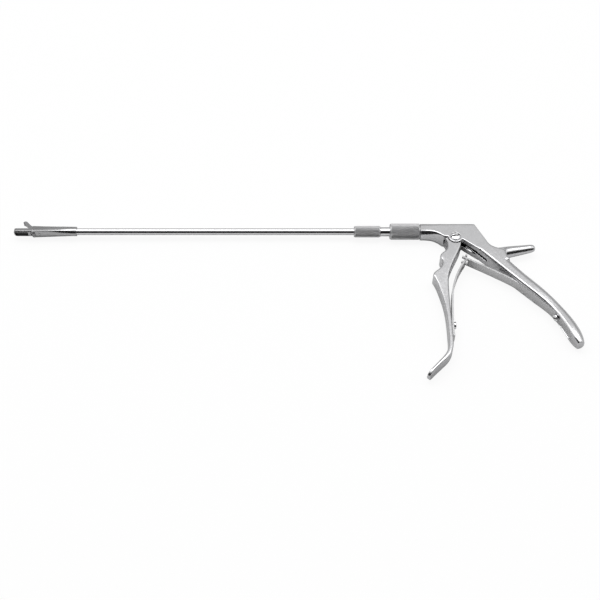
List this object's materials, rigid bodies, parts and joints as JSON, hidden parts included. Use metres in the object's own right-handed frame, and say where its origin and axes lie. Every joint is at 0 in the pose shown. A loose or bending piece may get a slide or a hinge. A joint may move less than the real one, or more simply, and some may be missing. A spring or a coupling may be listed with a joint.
{
  "type": "cervical biopsy punch",
  "caption": "Long-shafted forceps-style biopsy punch with a rotating shaft, windowed jaws, knurled lock nut and knob, and a spring-opened handle with a thumb spur.",
  "frame": {"origin": "on the flat side that the instrument rests on, straight under the shaft's axis and level with the handle pivot", "axes": "+X along the shaft from the jaws to the handles, +Y from the handles up to the shaft, +Z through the instrument's thickness, away from the side it rests on"},
  "size_m": [0.3292, 0.1129, 0.0113],
  "materials": {
    "handle_steel": "satin polished",
    "spring_steel": "polished strip",
    "screw_steel": "polished",
    "knurled_steel": "fine diamond knurl",
    "tube_steel": "mirror polished",
    "jaw_steel": "satin",
    "pin_steel": "polished"
  },
  "bodies": {
    "frame": {"rear_handle": "handle_steel", "rear_spring_screw": "screw_steel", "pivot_screw": "screw_steel"},
    "lever": {"finger_lever": "handle_steel", "front_spring_screw": "screw_steel"},
    "front_spring": {"front_leaf_spring": "spring_steel"},
    "rear_spring": {"rear_leaf_spring": "spring_steel"},
    "nut": {"lock_nut": "knurled_steel"},
    "shaft": {"shaft_tube": "tube_steel", "shaft_sleeve": "tube_steel", "slip_washer": "tube_steel", "rotation_knob": "knurled_steel", "front_bush": "tube_steel", "rear_bush": "tube_steel", "jaw_housing": "jaw_steel", "jaw_hinge_pin": "pin_steel"},
    "rod": {"drive_rod": "tube_steel", "rod_end": "tube_steel", "drive_bar": "jaw_steel", "bar_pin": "pin_steel", "link_pin": "pin_steel"},
    "jaw": {"upper_jaw": "jaw_steel"}
  },
  "joints": [
    {"name": "lever_pivot", "type": "hinge", "parent": "frame", "child": "lever", "pos_m": [0, -0.008, 0.00515], "axis": [0, 0, 1], "range_deg": [0, 21], "stiffness_Nm_per_rad": 1, "springref_deg": -8.59},
    {"name": "front_spring_bend", "type": "hinge", "parent": "lever", "child": "front_spring", "pos_m": [-0.0069, -0.0702, 0.00515], "axis": [0, 0, 1], "range_deg": [0, 3.52]},
    {"name": "rear_spring_bend", "type": "hinge", "parent": "frame", "child": "rear_spring", "pos_m": [0.05332, -0.06413, 0.00515], "axis": [0, 0, 1], "range_deg": [-2.96, 0]},
    {"name": "lock_nut_turn", "type": "hinge", "parent": "frame", "child": "nut", "pos_m": [-0.029, 0, 0.00515], "axis": [1, 0, 0], "range_deg": [0, 180]},
    {"name": "shaft_spin", "type": "hinge", "parent": "frame", "child": "shaft", "pos_m": [-0.03, 0, 0.00515], "axis": [1, 0, 0], "continuous": true},
    {"name": "rod_slide", "type": "slide", "parent": "shaft", "child": "rod", "axis": [-1, 0, 0], "range_m": [0, 0.0029]},
    {"name": "jaw_hinge", "type": "hinge", "parent": "shaft", "child": "jaw", "pos_m": [-0.2516, -0.0016, 0.00515], "axis": [0, 0, 1], "range_deg": [0, 45.1]}
  ],
  "couplings": [
    {"joint": "rod_slide", "follows": "lever_pivot", "m_per_rad": 0.007776},
    {"joint": "jaw_hinge", "follows": "lever_pivot", "ratio": 2.1429},
    {"joint": "front_spring_bend", "follows": "lever_pivot", "ratio": 0.1675},
    {"joint": "rear_spring_bend", "follows": "lever_pivot", "ratio": -0.1405}
  ]
}
